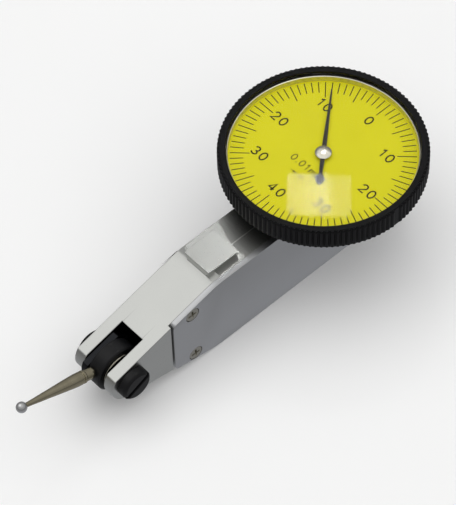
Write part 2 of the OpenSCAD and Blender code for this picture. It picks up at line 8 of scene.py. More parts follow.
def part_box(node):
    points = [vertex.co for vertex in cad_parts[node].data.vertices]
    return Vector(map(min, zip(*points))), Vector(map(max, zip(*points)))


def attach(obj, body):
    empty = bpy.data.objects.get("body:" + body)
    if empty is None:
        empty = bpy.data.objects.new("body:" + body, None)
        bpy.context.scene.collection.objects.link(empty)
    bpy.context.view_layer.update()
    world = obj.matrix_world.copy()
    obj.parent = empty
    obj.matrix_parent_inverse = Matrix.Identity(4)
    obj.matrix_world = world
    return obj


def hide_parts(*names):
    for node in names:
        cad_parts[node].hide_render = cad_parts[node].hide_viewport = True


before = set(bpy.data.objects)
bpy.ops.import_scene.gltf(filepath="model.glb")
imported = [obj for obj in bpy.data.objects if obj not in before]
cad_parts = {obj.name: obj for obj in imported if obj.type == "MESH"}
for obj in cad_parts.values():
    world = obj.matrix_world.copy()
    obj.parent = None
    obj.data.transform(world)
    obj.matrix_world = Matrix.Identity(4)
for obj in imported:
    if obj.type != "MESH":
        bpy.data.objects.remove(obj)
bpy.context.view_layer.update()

# ---- Body block ----
# One block of steel, milled all over, with two dovetail rails for holders and a fork for the stylus.
# It is satin chromed: an even, pale grey metal whose broken edges catch a thin bright line. Behind the
# front rail the cutter's cross marks still show through the plating.

MM = 0.001
EDGE_ANGLE = math.radians(40)
TOP_BEND_Y = -30.2
TOP_SLOPE = -math.tan(math.radians(15.2))
BOTTOM_BEND_Y = -30.7
BOTTOM_SLOPE = math.tan(math.radians(13))
BEND_REACH = 1.6
RAIL_REAR_Y = -23.2
SLOT_BACK_Y = -45.4
SLOT_HALF = 2.65
CUTTER_MARK = 0.4
STEP_X = 0.5
STEP_HALF = 0.13
RUN_OUT_X = 2.5
RUN_OUT_HALF = 0.07
RUN_OUT_LENGTH = 3.5
FACTOR, COLOUR_A, COLOUR_B, COLOUR = 0, 6, 7, 2


def box_mm(node):
    """Lowest and highest corner of a CAD node, in millimetres."""
    low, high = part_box(node)
    return low / MM, high / MM


def linear(code):
    """Linear colour of an sRGB hex value."""
    values = [int(code[i : i + 2], 16) / 255 for i in (1, 3, 5)]
    return [v / 12.92 if v <= 0.04045 else ((v + 0.055) / 1.055) ** 2.4 for v in values] + [1]


def add(tree, kind, inputs=(), **settings):
    """Adds a node with its settings, and fills its inputs with values and links."""
    node = tree.nodes.new(kind)
    for name, value in settings.items():
        setattr(node, name, value)
    for name, value in dict(inputs).items():
        if isinstance(value, bpy.types.NodeSocket):
            tree.links.new(value, node.inputs[name])
        else:
            node.inputs[name].default_value = value
    return node


def new_finish(name, **sockets):
    """A material with one Principled shader. Returns it, its tree, its shader and its coordinates."""
    material = bpy.data.materials.new(name)
    material.use_nodes = True
    tree = material.node_tree
    tree.nodes.clear()
    values = {key.replace("_", " "): value for key, value in sockets.items()}
    shader = add(tree, "ShaderNodeBsdfPrincipled", values)
    add(tree, "ShaderNodeOutputMaterial", {"Surface": shader.outputs[0]})
    return material, tree, shader, add(tree, "ShaderNodeTexCoord").outputs["Object"]


def clouded(tree, place, size, dark, pale):
    """A colour that drifts between two shades in clouds of a size in millimetres."""
    clouds = add(tree, "ShaderNodeTexNoise", {"Vector": place, "Scale": 1 / (size * MM), "Detail": 3})
    shades = {FACTOR: clouds.outputs[0], COLOUR_A: linear(dark), COLOUR_B: linear(pale)}
    return add(tree, "ShaderNodeMix", shades, data_type="RGBA").outputs[COLOUR]


def grained(tree, shader, place, size, depth, rough, stretch=(1, 1, 1)):
    """Marks of a size and depth in millimetres, which set the shader's roughness and relief."""
    laid = add(tree, "ShaderNodeMapping", {"Vector": place, "Scale": stretch}).outputs[0]
    scale = 1 / (size * MM)
    marks = add(tree, "ShaderNodeTexNoise", {"Vector": laid, "Scale": scale, "Detail": 2}).outputs[0]
    spread = {"Value": marks, "To Min": rough[0], "To Max": rough[1]}
    gloss = add(tree, "ShaderNodeMapRange", spread).outputs[0]
    relief = add(tree, "ShaderNodeBump", {"Height": marks, "Distance": depth * MM})
    tree.links.new(gloss, shader.inputs["Roughness"])
    tree.links.new(relief.outputs[0], shader.inputs["Normal"])
    return relief


def milled_top(tree, plain, place, x, y, z):
    """Cutter marks, and a painted highlight along a step, on the top behind the front rail, laid over a
    plain colour.
    """
    # Cutter marks across the body
    crossed = add(tree, "ShaderNodeMapping", {"Vector": place, "Scale": (0.08, 1, 0.08)}).outputs[0]
    pattern = {"Vector": crossed, "Scale": 1 / (CUTTER_MARK * MM), "Detail": 3}
    marks = add(tree, "ShaderNodeTexNoise", pattern).outputs[0]
    behind = {"Value": y, "From Min": (RAIL_REAR_Y - 0.4) * MM, "From Max": (RAIL_REAR_Y + 0.2) * MM}
    rearward = add(tree, "ShaderNodeMapRange", behind).outputs[0]
    top = {0: z, 1: (BODY_TOP - 0.05) * MM}
    on_top = add(tree, "ShaderNodeMath", top, operation="GREATER_THAN").outputs[0]
    milled = add(tree, "ShaderNodeMath", {0: rearward, 1: on_top}, operation="MULTIPLY").outputs[0]
    depth = add(tree, "ShaderNodeMath", {0: marks, 1: milled}, operation="MULTIPLY").outputs[0]
    shades = {FACTOR: depth, COLOUR_A: plain, COLOUR_B: linear("#bfc0bc")}
    banded = add(tree, "ShaderNodeMix", shades, data_type="RGBA").outputs[COLOUR]
    # Painted highlight: a bright line from the rail to the dial, where a step between two passes of the
    # cutter catches the light
    line = {0: x, 1: STEP_X * MM, 2: STEP_HALF * MM}
    step = add(tree, "ShaderNodeMath", line, operation="COMPARE").outputs[0]
    painted_step_highlight = add(tree, "ShaderNodeMath", {0: step, 1: milled}, operation="MULTIPLY").outputs[0]
    shades = {FACTOR: painted_step_highlight, COLOUR_A: banded, COLOUR_B: linear("#fbfbf7")}
    return add(tree, "ShaderNodeMix", shades, data_type="RGBA").outputs[COLOUR]


def slot_marks(tree, under, x, y):
    """Faint run-out marks behind the slot's corners, and painted shade on its walls, laid over a colour.
    """
    width = add(tree, "ShaderNodeMath", {0: x}, operation="ABSOLUTE").outputs[0]
    line = {0: width, 1: RUN_OUT_X * MM, 2: RUN_OUT_HALF * MM}
    mark = add(tree, "ShaderNodeMath", line, operation="COMPARE").outputs[0]
    run_out = {"Value": y, "From Min": SLOT_BACK_Y * MM, "To Min": 0.35, "To Max": 0}
    run_out["From Max"] = (SLOT_BACK_Y + RUN_OUT_LENGTH) * MM
    fading = add(tree, "ShaderNodeMapRange", run_out).outputs[0]
    scuff = add(tree, "ShaderNodeMath", {0: mark, 1: fading}, operation="MULTIPLY").outputs[0]
    shades = {FACTOR: scuff, COLOUR_A: under, COLOUR_B: linear("#7d7e7a")}
    scuffed = add(tree, "ShaderNodeMix", shades, data_type="RGBA").outputs[COLOUR]
    # Painted shade: the walls of the slot, which lie in shadow, drawn almost black
    between = {0: width, 1: (SLOT_HALF + 0.01) * MM}
    inside = add(tree, "ShaderNodeMath", between, operation="LESS_THAN").outputs[0]
    in_front = {0: y, 1: (SLOT_BACK_Y + 0.02) * MM}
    ahead = add(tree, "ShaderNodeMath", in_front, operation="LESS_THAN").outputs[0]
    slot = add(tree, "ShaderNodeMath", {0: inside, 1: ahead}, operation="MULTIPLY").outputs[0]
    shades = {FACTOR: slot, COLOUR_A: scuffed, COLOUR_B: linear("#2a2a2c")}
    return add(tree, "ShaderNodeMix", shades, data_type="RGBA").outputs[COLOUR]


def satin_chrome():
    """Satin chromed steel: pale, soft reflections, with milling marks and a painted highlight behind the
    front rail, and painted shade on the slot's walls.
    """
    material, tree, shader, place = new_finish("satin chrome", Metallic=1.0)
    plain = clouded(tree, place, 9, "#d2d3d0", "#dcddd9")
    grained(tree, shader, place, 0.12, 0.001, (0.26, 0.31))
    x, y, z = add(tree, "ShaderNodeSeparateXYZ", {"Vector": place}).outputs
    milled = milled_top(tree, plain, place, x, y, z)
    tree.links.new(slot_marks(tree, milled, x, y), shader.inputs["Base Color"])
    return material


def merged_copy(node):
    """A CAD node's mesh with its corners joined and its flat faces made whole."""
    bm = bmesh.new()
    bm.from_mesh(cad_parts[node].data)
    bmesh.ops.remove_doubles(bm, verts=bm.verts, dist=1e-4 * MM)
    bmesh.ops.dissolve_limit(bm, angle_limit=math.radians(0.3), verts=bm.verts, edges=bm.edges)
    return bm


def eased_z(y, bend_y, base_z, slope):
    """Height of a top or bottom face at a place, with its bend rounded."""
    ahead = bend_y - y
    if abs(ahead) < BEND_REACH:
        return base_z + slope * (ahead + BEND_REACH) ** 2 / (4 * BEND_REACH)
    return base_z + slope * max(0, ahead)


def ease_bend(bm, bend_y, base_z, slope):
    """Rounds the bend in a top or bottom face over a short length on both sides of it."""
    for part in range(-4, 5):
        cut = Vector((0, (bend_y + BEND_REACH * part / 4) * MM, 0))
        everything = [*bm.verts, *bm.edges, *bm.faces]
        bmesh.ops.bisect_plane(bm, geom=everything, plane_co=cut, plane_no=(0, 1, 0), dist=1e-5 * MM)
    for vert in bm.verts:
        ahead = bend_y - vert.co.y / MM
        flat = base_z + slope * max(0, ahead)
        if abs(ahead) < BEND_REACH and abs(vert.co.z / MM - flat) < 0.01:
            vert.co.z = eased_z(vert.co.y / MM, bend_y, base_z, slope) * MM


def show(name, bm, material, body, nodes, edge=0.1, segments=2):
    """Makes geometry a visible piece of a body that stands for CAD nodes, with its edges broken."""
    for face in bm.faces:
        face.smooth = True
    mesh = bpy.data.meshes.new(name)
    bm.to_mesh(mesh)
    bm.free()
    mesh.set_sharp_from_angle(angle=EDGE_ANGLE)
    mesh.materials.append(material)
    piece = bpy.data.objects.new(name, mesh)
    bpy.context.scene.collection.objects.link(piece)
    if edge:
        broken = piece.modifiers.new("Broken edges", "BEVEL")
        broken.width = edge * MM
        broken.segments = segments
        broken.angle_limit = EDGE_ANGLE
        broken.use_clamp_overlap = False
        level = piece.modifiers.new("Flat faces stay flat", "WEIGHTED_NORMAL")
        level.keep_sharp = True
    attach(piece, body)
    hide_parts(*nodes)
    return piece


BODY_TOP = box_mm("right_cover")[1].z
block = merged_copy("main_frame")
ease_bend(block, TOP_BEND_Y, BODY_TOP, TOP_SLOPE)
ease_bend(block, BOTTOM_BEND_Y, 0, BOTTOM_SLOPE)
show("body_block", block, satin_chrome(), "frame", ["main_frame"])

# ---- Movement ----
# Two brass plates held apart by turned pillars carry the sector gear and the crown gear. Plates,
# pillars and gears are rolled or drawn brass, stamped, hobbed and left bare: warm yellow, finely grained.


def bare_brass():
    """Bare rolled brass: warm yellow with a fine straight grain and slightly darker clouds."""
    material, tree, shader, place = new_finish("bare brass", Metallic=1.0)
    colour = clouded(tree, place, 3, "#b98f3c", "#dcb763")
    tree.links.new(colour, shader.inputs["Base Color"])
    grained(tree, shader, place, 0.12, 0.003, (0.2, 0.34), (1, 0.1, 1))
    return material


def carry(material, *nodes):
    """Gives CAD nodes that stay visible their finish."""
    for node in nodes:
        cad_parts[node].material_slots[0].material = material


carry(
    bare_brass(),
    "right_movement_plate",
    "left_movement_plate",
    "plate_pillars",
    "sector_gear",
    "crown_gear",
    "centre_pinion",
    "centre_bridge",
    "hairspring_collet",
    "hairspring_stud",
)

# ---- Shafts and movement screws ----
# Turned and ground carbon steel, pressed into the gears or screwed into the block. It stays bare: a cool
# grey with fine rings round each shaft.


def ground_steel():
    """Ground steel: cool grey with fine, shallow grinding marks."""
    material, tree, shader, place = new_finish("ground steel", Metallic=1.0)
    colour = clouded(tree, place, 2, "#a9abae", "#c9cbce")
    tree.links.new(colour, shader.inputs["Base Color"])
    grained(tree, shader, place, 0.1, 0.002, (0.14, 0.26), (1, 1, 0.3))
    return material


ground = ground_steel()
carry(ground, "sector_shaft", "crown_shaft", "crown_pinion", "centre_arbor", "swivel_pin")
carry(ground, "lever_drive_pin", "plate_screws", "bridge_screws", "bezel_retaining_ring")

# ---- Jewels ----
# Bushes and cup jewels of synthetic ruby, ground, polished and pressed in: deep pinkish red and glossy.


def ruby():
    """Polished synthetic ruby: deep red with pinker depths and a sharp gloss."""
    material, tree, shader, place = new_finish("polished ruby", Roughness=0.05, IOR=1.76)
    colour = clouded(tree, place, 0.4, "#7c0a20", "#c0264a")
    tree.links.new(colour, shader.inputs["Base Color"])
    shader.inputs["Coat Weight"].default_value = 0.5
    return material


carry(ruby(), "sector_bushes", "crown_bushes", "lower_centre_jewel", "upper_centre_jewel")

# ---- Hairspring ----
# A spiral of thin steel strip, tempered until it turns blue, pinned to the arbor's collet and to a stud.


def blued_steel():
    """Temper-blued steel: dark blue that drifts towards violet along the strip."""
    material, tree, shader, place = new_finish("blued spring steel", Metallic=1.0)
    colour = clouded(tree, place, 1.5, "#1d2f78", "#4a4aa8")
    tree.links.new(colour, shader.inputs["Base Color"])
    grained(tree, shader, place, 0.1, 0.001, (0.16, 0.24))
    return material


carry(blued_steel(), "hairspring")

# ---- Side cover ----
# A blanked steel plate that closes the gear chamber on the right, satin chromed like the block, with
# eased corners. It has four stepped holes, wide at the outside for the screws' heads.

PLATE_REAR_Y = 15
PLATE_FRONT_Y = -40.5
CORNER = 0.8
HOLE_STEPS = 40
HEAD_HOLE_R = 1.5
THREAD_HOLE_R = 0.8
HEAD_HOLE_DEPTH = 0.55
SCREW_PLACES = [(-36.1, 14.68), (-35.8, 2.80), (12.6, 15.88), (12.6, 2.02)]
# How far each level of the broken edge lies inwards, and how far below the outer face
BROKEN_EDGE = ((0, 0.1), (0.03, 0.03), (0.1, 0))


def satin_plate():
    """Satin chromed plate: pale grey, with a fine drawn grain along the body."""
    material, tree, shader, place = new_finish("satin plate", Metallic=1.0)
    colour = clouded(tree, place, 14, "#cbccce", "#d6d7d9")
    tree.links.new(colour, shader.inputs["Base Color"])
    grained(tree, shader, place, 0.2, 0.001, (0.28, 0.34), (1, 0.25, 1))
    return material


def circle(radius, steps, x=0, y=0):
    """Points round a circle."""
    turns = [math.tau * i / steps for i in range(steps)]
    return [(x + radius * math.cos(a), y + radius * math.sin(a)) for a in turns]


def loop_at(bm, points, z):
    """A loop of corners at a height, from points in the plane."""
    return [bm.verts.new((x, y, z)) for x, y in points]


def join_loops(bm, first, second):
    """Faces between two loops with the same number of corners."""
    for i in range(len(first)):
        j = (i + 1) % len(first)
        bm.faces.new([first[i], first[j], second[j], second[i]])


def fill_between(bm, loops):
    """Flat faces inside the first loop and outside the others."""
    border = []
    for ring in loops:
        for i in range(len(ring)):
            pair = (ring[i], ring[(i + 1) % len(ring)])
            border.append(bm.edges.get(pair) or bm.edges.new(pair))
    bmesh.ops.triangle_fill(bm, edges=border, use_beauty=True)


def eased_edge(bend_y, base_z, slope):
    """Points along the plate's top or bottom edge, from the rear to the front corner."""
    bend = [bend_y + BEND_REACH * part / 4 for part in range(4, -5, -1)]
    places = [PLATE_REAR_Y, *bend, PLATE_FRONT_Y + CORNER]
    return [(y, eased_z(y, bend_y, base_z, slope)) for y in places]


def rounded(start, corner, end):
    """Points between two ends of a rounded corner."""
    points = []
    for share in (0.25, 0.5, 0.75):
        parts = ((1 - share) ** 2, 2 * share * (1 - share), share**2)
        points.append(tuple(sum(w * p[k] for w, p in zip(parts, (start, corner, end))) for k in (0, 1)))
    return points


def inset(outline, depth):
    """An outline moved inwards; the outline runs counter-clockwise."""
    moved = []
    for i, (x, y) in enumerate(outline):
        into = (Vector((x, y)) - Vector(outline[i - 1])).normalized()
        out = (Vector(outline[(i + 1) % len(outline)]) - Vector((x, y))).normalized()
        normal = Vector((-into.y - out.y, into.x + out.x)).normalized()
        reach = depth / max(0.5, normal.dot(Vector((-into.y, into.x))))
        moved.append((x + normal.x * reach, y + normal.y * reach))
    return moved


cover_low, cover_high = box_mm("right_cover")
lower = eased_edge(BOTTOM_BEND_Y, 0, BOTTOM_SLOPE)
upper = eased_edge(TOP_BEND_Y, BODY_TOP, TOP_SLOPE)
low_corner = (PLATE_FRONT_Y, eased_z(PLATE_FRONT_Y, BOTTOM_BEND_Y, 0, BOTTOM_SLOPE))
high_corner = (PLATE_FRONT_Y, eased_z(PLATE_FRONT_Y, TOP_BEND_Y, BODY_TOP, TOP_SLOPE))
low_end = (PLATE_FRONT_Y, low_corner[1] + CORNER)
high_end = (PLATE_FRONT_Y, high_corner[1] - CORNER)
outline = upper + rounded(upper[-1], high_corner, high_end) + [high_end, low_end]
outline += rounded(low_end, low_corner, lower[-1]) + lower[::-1]
plate = bmesh.new()
levels = [(0, cover_low.x)] + [(depth, cover_high.x - drop) for depth, drop in BROKEN_EDGE]
edges = [loop_at(plate, inset(outline, depth), x) for depth, x in levels]
for near, far in zip(edges, edges[1:]):
    join_loops(plate, near, far)
mouths = [edges[-1]]
outlets = [edges[0]]
for y, z in SCREW_PLACES:
    heights = [cover_high.x, cover_high.x - HEAD_HOLE_DEPTH]
    wide = [loop_at(plate, circle(HEAD_HOLE_R, HOLE_STEPS, y, z), x) for x in heights]
    heights = [cover_high.x - HEAD_HOLE_DEPTH, cover_low.x]
    narrow = [loop_at(plate, circle(THREAD_HOLE_R, HOLE_STEPS, y, z), x) for x in heights]
    join_loops(plate, *wide)
    join_loops(plate, wide[1], narrow[0])
    join_loops(plate, *narrow)
    mouths.append(wide[0])
    outlets.append(narrow[1])
fill_between(plate, mouths)
fill_between(plate, outlets)
bmesh.ops.recalc_face_normals(plate, faces=plate.faces)
plate.transform(Matrix(((0, 0, MM, 0), (MM, 0, 0, 0), (0, MM, 0, 0), (0, 0, 0, 1))))
show("right_cover_plate", plate, satin_plate(), "frame", ["right_cover"], edge=0)

# ---- Cover screws ----
# Four small screws with a cross recess, cold headed in steel and nickel plated. Their heads are
# bright and smooth, and sit in the plate's stepped holes.

SCREW_R = 1.46
SCREW_RIM = 0.12
RECESS_ARM = 0.95
RECESS_HALF = 0.2
RECESS_DEPTH = 0.45
RECESS_TAPER = 0.55
SHANK_R = 0.74
RIM_STEPS = 48
HEAD_HEIGHT = 0.5
SUNK = 0.02


def nickel_plate():
    """Bright nickel on steel: slightly warm, smooth reflections."""
    material, tree, shader, place = new_finish("nickel plate", Metallic=1.0)
    colour = clouded(tree, place, 1.2, "#a9a69c", "#c2bfb4")
    tree.links.new(colour, shader.inputs["Base Color"])
    grained(tree, shader, place, 0.15, 0.002, (0.14, 0.24))
    return material


def cross_screw(length, head):
    """A cross-recessed screw with a flat-seated head, which points down from z = 0."""
    bm = bmesh.new()
    far, near = RECESS_ARM, RECESS_HALF
    arm = [(near, -near), (far, -near), (far, near)]
    cross = []
    for quarter in range(4):
        turn = Matrix.Rotation(quarter * math.pi / 2, 2)
        cross += [tuple(turn @ Vector(point)) for point in arm]
    mouth = loop_at(bm, cross, 0)
    pit = loop_at(bm, [(x * RECESS_TAPER, y * RECESS_TAPER) for x, y in cross], -RECESS_DEPTH)
    rim = loop_at(bm, circle(SCREW_R - SCREW_RIM, RIM_STEPS), 0)
    edge = loop_at(bm, circle(SCREW_R, RIM_STEPS), -SCREW_RIM)
    heel = loop_at(bm, circle(SCREW_R, RIM_STEPS), -head)
    neck = loop_at(bm, circle(SHANK_R, RIM_STEPS), -head)
    tip = loop_at(bm, circle(SHANK_R, RIM_STEPS), -length)
    join_loops(bm, mouth, pit)
    for outer, inner in ((rim, edge), (edge, heel), (heel, neck), (neck, tip)):
        join_loops(bm, outer, inner)
    bm.faces.new(tip)
    bm.faces.new(pit)
    fill_between(bm, (rim, mouth))
    bmesh.ops.recalc_face_normals(bm, faces=bm.faces)
    bmesh.ops.scale(bm, vec=(MM, MM, MM), verts=bm.verts)
    return bm


def screws_on_points():
    """Node tree: a screw on each point, turned about X and Z, made real and given its finish."""
    tree = bpy.data.node_groups.new("Screws on points", "GeometryNodeTree")
    face = tree.interface
    face.new_socket("Geometry", in_out="OUTPUT", socket_type="NodeSocketGeometry")
    face.new_socket("Points", in_out="INPUT", socket_type="NodeSocketGeometry")
    face.new_socket("Screw", in_out="INPUT", socket_type="NodeSocketObject")
    face.new_socket("Turn", in_out="INPUT", socket_type="NodeSocketVector")
    face.new_socket("Finish", in_out="INPUT", socket_type="NodeSocketMaterial")
    given = add(tree, "NodeGroupInput").outputs
    screw = add(tree, "GeometryNodeObjectInfo", {"Object": given["Screw"]}).outputs["Geometry"]
    turn = add(tree, "FunctionNodeEulerToRotation", {"Euler": given["Turn"]}).outputs[0]
    places = {"Points": given["Points"], "Instance": screw, "Rotation": turn}
    placed = add(tree, "GeometryNodeInstanceOnPoints", places).outputs[0]
    real = add(tree, "GeometryNodeRealizeInstances", {"Geometry": placed}).outputs[0]
    finish = {"Geometry": real, "Material": given["Finish"]}
    finished = add(tree, "GeometryNodeSetMaterial", finish).outputs[0]
    add(tree, "NodeGroupOutput", {"Geometry": finished})
    return tree


def grown(bm, tree, **values):
    """Runs a node tree on geometry, with its inputs set by name, and returns the plain result."""
    start = bpy.data.meshes.new("start")
    bm.to_mesh(start)
    bm.free()
    maker = bpy.data.objects.new("maker", start)
    bpy.context.scene.collection.objects.link(maker)
    nodes = maker.modifiers.new("Grown", "NODES")
    nodes.node_group = tree
    for socket in tree.interface.items_tree:
        key = socket.name.lower().replace(" ", "_")
        if socket.in_out == "INPUT" and key in values:
            nodes[socket.identifier] = values[key]
    graph = bpy.context.evaluated_depsgraph_get()
    mesh = bpy.data.meshes.new_from_object(maker.evaluated_get(graph), depsgraph=graph)
    bpy.data.objects.remove(maker)
    result = bmesh.new()
    result.from_mesh(mesh)
    return result


def hidden_model(name, bm):
    """An object that only lends its shape to a node tree."""
    mesh = bpy.data.meshes.new(name)
    bm.to_mesh(mesh)
    bm.free()
    model = bpy.data.objects.new(name, mesh)
    bpy.context.scene.collection.objects.link(model)
    return model


screw_low, screw_high = box_mm("right_cover_screws")
screw_tree = screws_on_points()
screw_model = hidden_model("screw model", cross_screw(screw_high.x - screw_low.x - SUNK, HEAD_HEIGHT))
nickel = nickel_plate()
points = bmesh.new()
for y, z in SCREW_PLACES:
    points.verts.new(((screw_high.x - SUNK) * MM, y * MM, z * MM))
turn = (0, math.radians(90), 0)
heads = grown(points, screw_tree, screw=screw_model, turn=turn, finish=nickel)
show("right_cover_screws_set", heads, nickel, "frame", ["right_cover_screws"], edge=0)
bpy.data.objects.remove(screw_model)

# ---- Lever ----
# A milled steel plate that grips the swivel pin in its round front end and runs back into the chamber
# as an arm. It is hardened and blackened.


def hardened_steel():
    """Hardened steel: dark grey, with a dull, even surface."""
    material, tree, shader, place = new_finish("hardened steel", Metallic=1.0)
    colour = clouded(tree, place, 2, "#262729", "#36373a")
    tree.links.new(colour, shader.inputs["Base Color"])
    grained(tree, shader, place, 0.15, 0.003, (0.3, 0.42))
    return material


hardened = hardened_steel()
show("lever_arm", merged_copy("lever"), hardened, "lever_unit", ["lever"], edge=0.08)

# ---- Stylus holder and friction washer ----
# A turned and blackened steel drum that swivels on the pin, pressed against the right arm of the fork by
# a bright nickel plated washer.

HOLDER_RIM = 0.25
pin_low, pin_high = box_mm("swivel_pin")
PIVOT = (pin_low + pin_high) / 2
PIN_R = 1


def blackened_steel():
    """Blackened steel: nearly black with a soft, oily sheen and faintly lighter patches."""
    material, tree, shader, place = new_finish("blackened steel", Specular_IOR_Level=0.35)
    colour = clouded(tree, place, 1.5, "#09090a", "#121214")
    tree.links.new(colour, shader.inputs["Base Color"])
    grained(tree, shader, place, 0.12, 0.004, (0.36, 0.5))
    return material


def turned(profile, place, closed=True, steps=96):
    """A solid turned from radius and height pairs, about the Z axis of a place."""
    bm = bmesh.new()
    rings = []
    for radius, height in profile:
        points = circle(radius, steps) if radius else [(0, 0)]
        rings.append(loop_at(bm, points, height))
    pairs = list(zip(rings, rings[1:]))
    if closed:
        pairs.append((rings[-1], rings[0]))
    for low, high in pairs:
        for i in range(steps):
            j = (i + 1) % steps
            corners = [low[i % len(low)], low[j % len(low)], high[j % len(high)], high[i % len(high)]]
            distinct = list(dict.fromkeys(corners))
            if len(distinct) > 2:
                bm.faces.new(distinct)
    bmesh.ops.recalc_face_normals(bm, faces=bm.faces)
    bm.transform(Matrix.Scale(MM, 4) @ place)
    return bm


def along_x(y, z):
    """Place with its axis along X through a point."""
    return Matrix.Translation((0, y, z)) @ Matrix.Rotation(math.pi / 2, 4, "Y")


def drum(node, rim):
    """A round piece on the swivel pin, as wide as its CAD node."""
    low, high = box_mm(node)
    outer = (high.z - low.z) / 2
    bore = PIN_R + 0.04
    profile = [(bore, low.x), (outer - rim, low.x), (outer, low.x + rim), (outer, high.x - rim)]
    profile += [(outer - rim, high.x), (bore, high.x)]
    return turned(profile, along_x(PIVOT.y, PIVOT.z))


blackened = blackened_steel()
holder = drum("stylus_holder", HOLDER_RIM)
show("holder_drum", holder, blackened, "stylus_unit", ["stylus_holder"], edge=0.06)


def bright_washer():
    """Nickel plated spring steel: bright and slightly yellow, turned smooth."""
    material, tree, shader, place = new_finish("bright nickel washer", Metallic=1.0)
    colour = clouded(tree, place, 1, "#ddd8c4", "#efead8")
    tree.links.new(colour, shader.inputs["Base Color"])
    grained(tree, shader, place, 0.1, 0.002, (0.12, 0.2))
    return material


washer = drum("friction_washer", 0.12)
washer_finish = bright_washer()
show("washer_disc", washer, washer_finish, "stylus_unit", ["friction_washer"], edge=0.03)

# ---- Stylus ----
# A slim rod turned in one piece with its collar and ring groove, tapered to a thin neck, polished and
# nickel plated: long warm highlights run along it.

ball_low, ball_high = box_mm("contact_ball")
BALL = (ball_low + ball_high) / 2
BALL_R = (ball_high.x - ball_low.x) / 2
REACH = (BALL - PIVOT).length
NECK_R = 0.22 * 2 * BALL_R
NECK_END = REACH - math.sqrt(BALL_R**2 - NECK_R**2)
STYLUS_PROFILE = [
    (0, 1.35),
    (0.8, 1.35),
    (0.8, 4.85),
    (1.05, 4.85),
    (1.05, 6.6),
    (1.2, 6.75),
    (1.2, 7.1),
    (1.0, 7.2),
    (1.0, 7.45),
    (1.2, 7.55),
    (1.2, 8.6),
    (1.15, 9.6),
    (NECK_R, NECK_END - 0.7),
    (NECK_R, NECK_END),
    (0, NECK_END),
]


def polished_nickel():
    """Polished nickel: warm, nearly mirror bright, with hair-fine turning rings."""
    material, tree, shader, place = new_finish("polished nickel", Metallic=1.0)
    colour = clouded(tree, place, 2.5, "#a89f86", "#c9c1a8")
    tree.links.new(colour, shader.inputs["Base Color"])
    grained(tree, shader, place, 0.14, 0.0015, (0.1, 0.18), (0.3, 1, 0.3))
    return material


lean = (BALL - PIVOT).to_track_quat("Z", "X").to_matrix().to_4x4()
on_axis = Matrix.Translation(PIVOT) @ lean
rod = turned(STYLUS_PROFILE, on_axis, closed=False)
rod_finish = polished_nickel()
show("stylus_rod", rod, rod_finish, "stylus_unit", ["stylus"], edge=0.03)

# ---- Contact ball ----
# A ground ball of hard chromed steel, brazed on the stylus' neck. It is the smoothest of the metal parts.

BALL_STEPS = 24


def hard_chrome():
    """Lapped hard chrome: cool, mirror bright, with a trace of haze."""
    material, tree, shader, place = new_finish("lapped hard chrome", Metallic=1.0)
    colour = clouded(tree, place, 0.8, "#d9dadb", "#ececec")
    tree.links.new(colour, shader.inputs["Base Color"])
    grained(tree, shader, place, 0.1, 0.0005, (0.04, 0.09))
    return material


open_angle = math.asin(NECK_R / BALL_R)
sweep = [open_angle + (math.pi - open_angle) * i / BALL_STEPS for i in range(BALL_STEPS)]
ball_profile = [(0, NECK_END)]
ball_profile += [(BALL_R * math.sin(a), REACH - BALL_R * math.cos(a)) for a in sweep]
ball_profile += [(0, REACH + BALL_R)]
tip = turned(ball_profile, on_axis, closed=False, steps=64)
show("ball_tip", tip, hard_chrome(), "stylus_unit", ["contact_ball"], edge=0)

# ---- Pivot screws ----
# Wide, low screws with a straight slot, turned in steel and blackened. Their tips carry the swivel pin.

blackened_head = blackened_steel()
for side in ("right", "left"):
    node = side + "_pivot_screw"
    show(node + "_head", merged_copy(node), blackened_head, "frame", [node], edge=0.1)

# ---- Dial housing ----
# A shallow turned aluminium bowl under the dial, black anodised, held by two hidden screws.


def black_anodised():
    """Black anodised aluminium: deep, slightly bluish black with a silky gloss."""
    material, tree, shader, place = new_finish("black anodised aluminium", Specular_IOR_Level=0.2)
    colour = clouded(tree, place, 5, "#060607", "#0b0b0d")
    tree.links.new(colour, shader.inputs["Base Color"])
    grained(tree, shader, place, 0.15, 0.003, (0.32, 0.42))
    return material


anodised = black_anodised()
show("housing_bowl", merged_copy("dial_housing"), anodised, "frame", ["dial_housing"])
carry(nickel, "housing_screws")

# ---- Bezel ----
# A turned aluminium ring that grips the crystal under its lip, anodised black. Its side is straight
# knurled with 120 ridges on 121 places, the one at +X left empty, up to the edge of the smooth top ring.

RIDGES = 120
RIDGE_HEIGHT = 0.3
bezel_low, bezel_high = box_mm("bezel")
BEZEL_R = bezel_high.x
BEZEL_Z0, BEZEL_Z1 = bezel_low.z, bezel_high.z
ROOT_R = BEZEL_R - RIDGE_HEIGHT
BORE_R = 17.08
LIP_R = 17.2
SEAT_R = 17.6
LIP_T = 0.4
glass_low, glass_high = box_mm("crystal")
dial_low, dial_high = box_mm("dial_face")
DIAL_Z0, DIAL_Z1 = dial_low.z, dial_high.z
RIDGE_SECTION = [(-0.05, 0.46), (0.2, 0.24), (0.27, 0.14), (0.3, 0.0), (0.27, -0.14), (0.2, -0.24)]
RIDGE_SECTION += [(-0.05, -0.46)]


